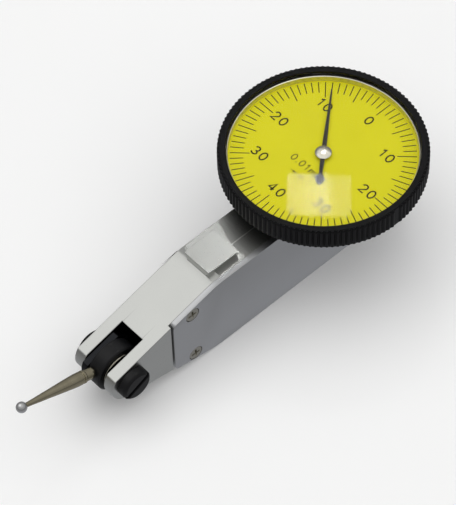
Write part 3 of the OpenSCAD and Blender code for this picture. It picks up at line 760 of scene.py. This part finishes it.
def ring_of_copies():
    """Node tree: copies of a shape turned round the Z axis, with every n-th one left out."""
    tree = bpy.data.node_groups.new("Ring of copies", "GeometryNodeTree")
    face = tree.interface
    face.new_socket("Geometry", in_out="OUTPUT", socket_type="NodeSocketGeometry")
    face.new_socket("Shape", in_out="INPUT", socket_type="NodeSocketGeometry")
    face.new_socket("Copies", in_out="INPUT", socket_type="NodeSocketInt")
    face.new_socket("Leave out every", in_out="INPUT", socket_type="NodeSocketInt")
    face.new_socket("Finish", in_out="INPUT", socket_type="NodeSocketMaterial")
    given = add(tree, "NodeGroupInput").outputs
    row = add(tree, "GeometryNodeMeshLine", {"Count": given["Copies"], "Offset": (0, 0, 0)})
    index = add(tree, "GeometryNodeInputIndex").outputs[0]
    share = add(tree, "ShaderNodeMath", {0: index, 1: given["Copies"]}, operation="DIVIDE").outputs[0]
    angle = add(tree, "ShaderNodeMath", {0: share, 1: math.tau}, operation="MULTIPLY").outputs[0]
    about_z = {"Axis": (0, 0, 1), "Angle": angle}
    turn = add(tree, "FunctionNodeAxisAngleToRotation", about_z).outputs[0]
    left = {0: index, 1: given["Leave out every"]}
    over = add(tree, "ShaderNodeMath", left, operation="MODULO").outputs[0]
    kept = add(tree, "ShaderNodeMath", {0: over, 1: 0.5}, operation="GREATER_THAN").outputs[0]
    places = {"Points": row.outputs[0], "Selection": kept, "Instance": given["Shape"], "Rotation": turn}
    placed = add(tree, "GeometryNodeInstanceOnPoints", places).outputs[0]
    real = add(tree, "GeometryNodeRealizeInstances", {"Geometry": placed}).outputs[0]
    finish = {"Geometry": real, "Material": given["Finish"]}
    finished = add(tree, "GeometryNodeSetMaterial", finish).outputs[0]
    add(tree, "NodeGroupOutput", {"Geometry": finished})
    return tree


def ridge():
    """One knurling ridge at +X, sloped off at both ends."""
    bm = bmesh.new()
    ends = [(BEZEL_Z0 + 0.12, 0), (BEZEL_Z0 + 0.4, 1), (BEZEL_Z1 - 0.3, 1), (BEZEL_Z1 - 0.06, 0)]
    rows = []
    for z, grow in ends:
        row = []
        for rise, half in RIDGE_SECTION:
            lift = rise if grow else min(rise, -0.02)
            row.append(bm.verts.new(((ROOT_R + lift) * MM, half * MM, z * MM)))
        rows.append(row)
    for low, high in zip(rows, rows[1:]):
        join_loops(bm, low, high)
    bm.faces.new(rows[0])
    bm.faces.new(rows[-1])
    bmesh.ops.recalc_face_normals(bm, faces=bm.faces)
    return bm


copies_tree = ring_of_copies()
bezel_profile = [
    (BORE_R, BEZEL_Z0),
    (ROOT_R - 0.15, BEZEL_Z0),
    (ROOT_R, BEZEL_Z0 + 0.15),
    (ROOT_R, BEZEL_Z1 - 0.12),
    (ROOT_R - 0.12, BEZEL_Z1),
    (LIP_R + 0.1, BEZEL_Z1),
    (LIP_R, BEZEL_Z1 - 0.1),
    (LIP_R, BEZEL_Z1 - LIP_T),
    (SEAT_R, BEZEL_Z1 - LIP_T),
    (SEAT_R, DIAL_Z0),
    (BORE_R, DIAL_Z0),
    (BORE_R, BEZEL_Z0 + 1.21),
    (BORE_R + 0.35, BEZEL_Z0 + 1.21),
    (BORE_R + 0.35, BEZEL_Z0 + 0.59),
    (BORE_R, BEZEL_Z0 + 0.59),
]
upright = Matrix.Identity(4)
ring = turned(bezel_profile, upright, steps=240)
knurling = grown(
    ridge(), copies_tree, copies=RIDGES + 1, leave_out_every=RIDGES + 1, finish=anodised
)
knurled = bpy.data.meshes.new("knurling")
knurling.to_mesh(knurled)
knurling.free()
ring.from_mesh(knurled)
show("bezel_ring", ring, anodised, "bezel_unit", ["bezel"], edge=0.04)

# ---- Dial face ----
# A brass disc sprayed matt yellow and pad printed in black: 80 divisions, numbered both ways from 0 to
# 40, with the value of a division under the centre.

DIVISIONS = 80
LONG_EVERY = 5
LONG_TICKS = DIVISIONS // LONG_EVERY
SHORT_TICK = (14.1, 16.5)
LONG_TICK = (13.0, 16.5)
TICK_HALF = 0.09
INK = 0.012
NUMBER_R = 11.2
NUMBER_HEIGHT = 2.0
STROKE_HALF = 0.14
UNIT_HEIGHT = 1.5
UNIT_STROKE_HALF = 0.09
UNIT_Y = -4
ARROW_Y = -6.3
ARROW_TIP_X = 0.35
ARROW_TAIL_X = 1.7
HUB_HOLE_R = 1.1


def yellow_lacquer():
    """Matt sprayed lacquer: strong greenish yellow with a very fine orange-peel surface."""
    material, tree, shader, place = new_finish("matt yellow lacquer", Specular_IOR_Level=0.3)
    colour = clouded(tree, place, 6, "#cfc800", "#d6cf02")
    tree.links.new(colour, shader.inputs["Base Color"])
    grained(tree, shader, place, 0.2, 0.002, (0.5, 0.62))
    return material


def black_ink():
    """Pad printing ink: matt, slightly brown black."""
    material, tree, shader, place = new_finish("black printing ink", Specular_IOR_Level=0.3)
    colour = clouded(tree, place, 0.5, "#0e0c04", "#171407")
    tree.links.new(colour, shader.inputs["Base Color"])
    grained(tree, shader, place, 0.1, 0.001, (0.5, 0.65))
    return material


def bar(x0, x1, y0, y1, z0, z1):
    """A thin printed bar between two corners, in millimetres."""
    bm = bmesh.new()
    outline = [(x0, y0), (x1, y0), (x1, y1), (x0, y1)]
    low = loop_at(bm, outline, z0)
    high = loop_at(bm, outline, z1)
    join_loops(bm, low, high)
    bm.faces.new(low[::-1])
    bm.faces.new(high)
    bmesh.ops.recalc_face_normals(bm, faces=bm.faces)
    bmesh.ops.scale(bm, vec=(MM, MM, MM), verts=bm.verts)
    return bm


def tick(reach):
    """One division line at the top of the dial."""
    return bar(-TICK_HALF, TICK_HALF, reach[0], reach[1], DIAL_Z1 - INK, DIAL_Z1 + INK)


def merge_into(bm, other):
    """Adds one geometry to another."""
    mesh = bpy.data.meshes.new("part")
    other.to_mesh(mesh)
    other.free()
    bm.from_mesh(mesh)


def arc(x, y, rx, ry, start, end, steps=12):
    """Points along part of an ellipse, from one angle to another in degrees."""
    turns = [math.radians(start + (end - start) * i / steps) for i in range(steps + 1)]
    return [(x + rx * math.cos(a), y + ry * math.sin(a)) for a in turns]


# Strokes of each letter, one unit high, and the width that it takes up
LETTERS = {
    "0": ([arc(0, 0.5, 0.28, 0.44, 90, 450, 24)], 0.96),
    "1": ([[(-0.19, 0.74), (0.03, 0.94), (0.03, 0.06)]], 0.74),
    "2": ([arc(0, 0.68, 0.26, 0.26, 170, -35) + [(-0.28, 0.06), (0.3, 0.06)]], 0.96),
    "3": ([arc(0, 0.71, 0.24, 0.23, 160, -80) + arc(0, 0.27, 0.28, 0.21, 80, -160)], 0.96),
    "4": ([[(0.12, 0.06), (0.12, 0.94), (-0.3, 0.28), (0.32, 0.28)]], 0.98),
    ".": ([[(0, 0.06), (0, 0.16)]], 0.4),
    "m": (
        [
            [(-0.38, 0.06), (-0.38, 0.68)],
            arc(-0.19, 0.45, 0.19, 0.2, 180, 0) + [(0, 0.06)],
            arc(0.19, 0.45, 0.19, 0.2, 180, 0) + [(0.38, 0.06)],
        ],
        1.06,
    ),
}


def stroke(points, half):
    """A printed line of even width through points, in millimetres."""
    bm = bmesh.new()
    sections = []
    for i, (x, y) in enumerate(points):
        before = Vector(points[max(i - 1, 0)])
        after = Vector(points[min(i + 1, len(points) - 1)])
        here = Vector((x, y))
        into = (here - before).normalized() or (after - here).normalized()
        out = (after - here).normalized() or into
        side = Vector((-into.y - out.y, into.x + out.x)).normalized()
        reach = half / max(0.6, side.dot(Vector((-into.y, into.x))))
        left, right = here + side * reach, here - side * reach
        corners = [(*left, -INK), (*right, -INK), (*right, INK), (*left, INK)]
        sections.append([bm.verts.new(corner) for corner in corners])
    for near, far in zip(sections, sections[1:]):
        join_loops(bm, near, far)
    bm.faces.new(sections[0])
    bm.faces.new(sections[-1])
    bmesh.ops.recalc_face_normals(bm, faces=bm.faces)
    return bm


def printed_text(words, height, half, x, y):
    """Flat letters with the thickness of ink, centred on a point of the dial."""
    bm = bmesh.new()
    left = x - sum(LETTERS[letter][1] for letter in words) * height / 2
    for letter in words:
        lines, width = LETTERS[letter]
        middle = left + width * height / 2
        for line in lines:
            merge_into(bm, stroke([(middle + u * height, y + (v - 0.5) * height) for u, v in line], half))
        left += width * height
    bmesh.ops.translate(bm, verts=bm.verts, vec=(0, 0, DIAL_Z1))
    bmesh.ops.scale(bm, vec=(MM, MM, MM), verts=bm.verts)
    return bm


def arrow(tip_x, tail_x, y):
    """A small arrow that points from tail to tip, and the line that it touches."""
    way = math.copysign(1, tip_x - tail_x)
    bm = bar(min(tip_x, tail_x), max(tip_x, tail_x), y - 0.04, y + 0.04, DIAL_Z1 - INK, DIAL_Z1 + INK)
    merge_into(bm, bar(tip_x - 0.04, tip_x + 0.04, y - 0.45, y + 0.45, DIAL_Z1 - INK, DIAL_Z1 + INK))
    back = tip_x - way * 0.7
    for half in (0.28, -0.28):
        head = bmesh.new()
        outline = [(tip_x - way * 0.05, y), (back, y), (back, y + half)]
        low = loop_at(head, outline, DIAL_Z1 - INK)
        high = loop_at(head, outline, DIAL_Z1 + INK)
        join_loops(head, low, high)
        head.faces.new(low)
        head.faces.new(high)
        bmesh.ops.recalc_face_normals(head, faces=head.faces)
        bmesh.ops.scale(head, vec=(MM, MM, MM), verts=head.verts)
        merge_into(bm, head)
    return bm


lacquer = yellow_lacquer()
dial_profile = [(HUB_HOLE_R, DIAL_Z0), (SEAT_R, DIAL_Z0), (SEAT_R, DIAL_Z1), (HUB_HOLE_R, DIAL_Z1)]
disc = turned(dial_profile, upright, steps=160)
show("dial_disc", disc, lacquer, "bezel_unit", ["dial_face"], edge=0.05)
ink = black_ink()
between = {"copies": DIVISIONS, "leave_out_every": LONG_EVERY, "finish": ink}
printing = grown(tick(SHORT_TICK), copies_tree, **between)
# The first long line is left out of the copies and added after them
long_lines = {"copies": LONG_TICKS, "leave_out_every": LONG_TICKS + 1, "finish": ink}
merge_into(printing, grown(tick(LONG_TICK), copies_tree, **long_lines))
merge_into(printing, tick(LONG_TICK))
for place, number in enumerate((0, 10, 20, 30, 40, 30, 20, 10)):
    angle = math.radians(90 - 45 * place)
    spot = (NUMBER_R * math.cos(angle), NUMBER_R * math.sin(angle))
    merge_into(printing, printed_text(str(number), NUMBER_HEIGHT, STROKE_HALF, *spot))
merge_into(printing, printed_text("0.01mm", UNIT_HEIGHT, UNIT_STROKE_HALF, 0, UNIT_Y))
for side in (-1, 1):
    merge_into(printing, arrow(side * ARROW_TIP_X, side * ARROW_TAIL_X, ARROW_Y))
show("dial_print", printing, ink, "bezel_unit", [], edge=0)

# ---- Spacer ring ----
# A plain turned ring of nickel silver that keeps the crystal off the dial. Its satin inner wall shows as
# a pale band round the dial.


def nickel_silver():
    """Satin nickel silver: pale, slightly beige, with fine turning marks round the wall."""
    material, tree, shader, place = new_finish("satin nickel silver", Metallic=1.0)
    colour = clouded(tree, place, 4, "#d3d0c4", "#e8e6dc")
    tree.links.new(colour, shader.inputs["Base Color"])
    grained(tree, shader, place, 0.12, 0.003, (0.26, 0.36), (0.3, 0.3, 1))
    return material


ring_low, ring_high = box_mm("crystal_ring")
SPACER_R = LIP_R - 0.35
spacer_profile = [
    (SPACER_R, ring_low.z),
    (SEAT_R, ring_low.z),
    (SEAT_R, ring_high.z),
    (SPACER_R + 0.12, ring_high.z),
    (SPACER_R, ring_high.z - 0.12),
]
spacer = turned(spacer_profile, upright, steps=160)
show("spacer_ring", spacer, nickel_silver(), "bezel_unit", ["crystal_ring"], edge=0.03)

# ---- Needle and hub ----
# The needle is cut from thin sheet and lacquered black, with a weighted tail. A domed hub, turned and
# nickel plated, is riveted through it and pressed on the arbor.


def black_lacquer():
    """Thin black lacquer on sheet metal: brownish black with a low gloss."""
    material, tree, shader, place = new_finish("black lacquer", Specular_IOR_Level=0.4)
    colour = clouded(tree, place, 1.5, "#130f08", "#1e190f")
    tree.links.new(colour, shader.inputs["Base Color"])
    grained(tree, shader, place, 0.15, 0.001, (0.3, 0.4))
    return material


blade = merged_copy("needle")
show("needle_blade", blade, black_lacquer(), "needle_unit", ["needle"], edge=0.03)

hub_low, hub_high = box_mm("needle_hub")
needle_low, needle_high = box_mm("needle")
ARBOR_R = 0.3
HUB_R = hub_high.x
hub_rise = hub_high.z - needle_high.z
hub_profile = [
    (ARBOR_R, hub_low.z),
    (0.9, hub_low.z),
    (0.9, needle_low.z),
    (0.6, needle_low.z),
    (0.6, needle_high.z),
    (HUB_R, needle_high.z),
    (HUB_R, needle_high.z + hub_rise * 0.42),
    (HUB_R - 0.12, needle_high.z + hub_rise * 0.66),
    (HUB_R - 0.35, needle_high.z + hub_rise * 0.86),
    (HUB_R - 0.75, needle_high.z + hub_rise * 0.97),
    (HUB_R - 1.1, needle_high.z + hub_rise),
    (0, needle_high.z + hub_rise),
    (0, needle_high.z + 0.15),
    (ARBOR_R, needle_high.z + 0.15),
]
hub = turned(hub_profile, upright)
show("hub_cap", hub, nickel, "needle_unit", ["needle_hub"], edge=0.02)

# ---- Crystal ----
# A flat disc of clear acrylic, turned and polished, snapped in under the bezel's lip.

GLASS_RIM = 0.1


def clear_acrylic():
    """Clear acrylic: colourless, reflecting little, with a trace of haze that varies over it."""
    # The index is below acrylic's own 1.49, so that the room's reflection doesn't haze the dial
    material, tree, shader, place = new_finish("clear acrylic", Transmission_Weight=1.0, IOR=1.12)
    colour = clouded(tree, place, 8, "#fbfbf9", "#ffffff")
    tree.links.new(colour, shader.inputs["Base Color"])
    grained(tree, shader, place, 4, 0.0, (0.0, 0.03))
    return material


glass_profile = [
    (0, glass_low.z),
    (SEAT_R - GLASS_RIM, glass_low.z),
    (SEAT_R, glass_low.z + GLASS_RIM),
    (SEAT_R, glass_high.z - GLASS_RIM),
    (SEAT_R - GLASS_RIM, glass_high.z),
    (0, glass_high.z),
]
crystal = turned(glass_profile, upright, closed=False, steps=160)
pane = show("crystal_disc", crystal, clear_acrylic(), "bezel_unit", ["crystal"], edge=0)
pane.visible_shadow = False
pane.visible_diffuse = False

# ---- Floor, light and camera ----
# A plain pale table under even studio light: a strong, broad fill overhead that shows in no
# reflection, a weak soft box over the left front, a dim room, and two small window panes that glint
# in the crystal. The camera sees a plain pale background in place of the room.

FLOOR_HALF = 3000
FLOOR_Z = -0.3
AIM = Vector((-0.43, -22.58, 14.63)) * MM
DISTANCE = 526.12 * MM
AZIMUTH = math.radians(49.15)
ELEVATION = math.radians(53.80)
ROLL = math.radians(-1.99)
LENS = 213.86


def pale_table():
    """Matt white laminate: almost white, with the faintest mottling."""
    material, tree, shader, place = new_finish("matt white laminate", Specular_IOR_Level=0.2)
    colour = clouded(tree, place, 60, "#f4f4f4", "#f8f8f8")
    tree.links.new(colour, shader.inputs["Base Color"])
    grained(tree, shader, place, 2, 0.0, (0.6, 0.7))
    return material


table = bmesh.new()
sides = ((-1, -1), (1, -1), (1, 1), (-1, 1))
table_outline = [(x * FLOOR_HALF, y * FLOOR_HALF) for x, y in sides]
table.faces.new(loop_at(table, table_outline, FLOOR_Z))
bmesh.ops.scale(table, vec=(MM, MM, MM), verts=table.verts)
table_mesh = bpy.data.meshes.new("table")
table.to_mesh(table_mesh)
table_mesh.materials.append(pale_table())
floor = bpy.data.objects.new("table", table_mesh)
bpy.context.scene.collection.objects.link(floor)
floor.visible_glossy = False

world = bpy.data.worlds.new("studio")
bpy.context.scene.world = world
world.use_nodes = True
room = world.node_tree
room.nodes.clear()
way = add(room, "ShaderNodeTexCoord").outputs["Generated"]
height = add(room, "ShaderNodeSeparateXYZ", {"Vector": way}).outputs["Z"]
# Brightness of the room from straight down to straight up, for the heights from -1 to 1
span = {"Value": height, "From Min": -1, "From Max": 1}
spread = add(room, "ShaderNodeMapRange", span).outputs[0]
shade = add(room, "ShaderNodeValToRGB", {"Fac": spread})
ramp = shade.color_ramp
ramp.elements[0].position = 0
ramp.elements[0].color = (0.34, 0.345, 0.36, 1)
ramp.elements[1].position = 1
ramp.elements[1].color = (0.58, 0.58, 0.57, 1)
for position, level in ((0.4, 0.22), (0.5, 0.14), (0.62, 0.3), (0.8, 0.34)):
    stop = ramp.elements.new(position)
    stop.color = (level, level, level, 1)
seen = add(room, "ShaderNodeLightPath").outputs["Is Camera Ray"]
dome = add(room, "ShaderNodeBackground", {"Color": shade.outputs[0], "Strength": 1})
plain = add(room, "ShaderNodeBackground", {"Color": (0.97, 0.97, 0.97, 1), "Strength": 1})
both = {0: seen, 1: dome.outputs[0], 2: plain.outputs[0]}
mixed = add(room, "ShaderNodeMixShader", both).outputs[0]
add(room, "ShaderNodeOutputWorld", {"Surface": mixed})


def lamp(name, direction, distance, size, power, target=AIM, glossy=True):
    """A square soft lamp that shines at a target from a direction."""
    light = bpy.data.lights.new(name, "AREA")
    light.shape = "RECTANGLE"
    light.size, light.size_y = size
    light.energy = power
    stand = bpy.data.objects.new(name, light)
    away = Vector(direction).normalized()
    turn = away.to_track_quat("Z", "Y").to_matrix().to_4x4()
    stand.matrix_world = Matrix.Translation(target + away * distance) @ turn
    stand.visible_glossy = glossy
    bpy.context.scene.collection.objects.link(stand)
    return stand


lamp("soft box", (-0.45, -0.30, 0.85), 0.6, (0.5, 0.5), 0.36)
lamp("overhead fill", (0.2, 0.1, 1), 1.2, (2.4, 2.4), 17.5, glossy=False)

right = Vector((math.cos(AZIMUTH), math.sin(AZIMUTH), 0))
back = Vector(
    (
        math.sin(AZIMUTH) * math.cos(ELEVATION),
        -math.cos(AZIMUTH) * math.cos(ELEVATION),
        math.sin(ELEVATION),
    )
)
up = back.cross(right)
rolled_right = right * math.cos(ROLL) + up * math.sin(ROLL)
rolled_up = up * math.cos(ROLL) - right * math.sin(ROLL)
# Where each pane glints on the crystal, in millimetres, and its power
for name, x, y, power in (("left pane", 5.4, -8.6, 0.010), ("right pane", 8.2, -6.4, 0.005)):
    glint = Vector((x, y, glass_high.z)) * MM
    sight = (glint - AIM - back * DISTANCE).normalized()
    mirrored = (sight.x, sight.y, -sight.z)
    lamp(name, mirrored, 0.3, (0.012, 0.011), power, target=glint)
camera_data = bpy.data.cameras.new("camera")
camera_data.lens = LENS
camera_data.sensor_width = 36
camera_data.clip_start = 0.01
camera = bpy.data.objects.new("camera", camera_data)
turn = Matrix((rolled_right, rolled_up, back)).transposed().to_4x4()
camera.matrix_world = Matrix.Translation(AIM + back * DISTANCE) @ turn
bpy.context.scene.collection.objects.link(camera)
bpy.context.scene.camera = camera
bpy.context.scene.view_settings.view_transform = "Standard"
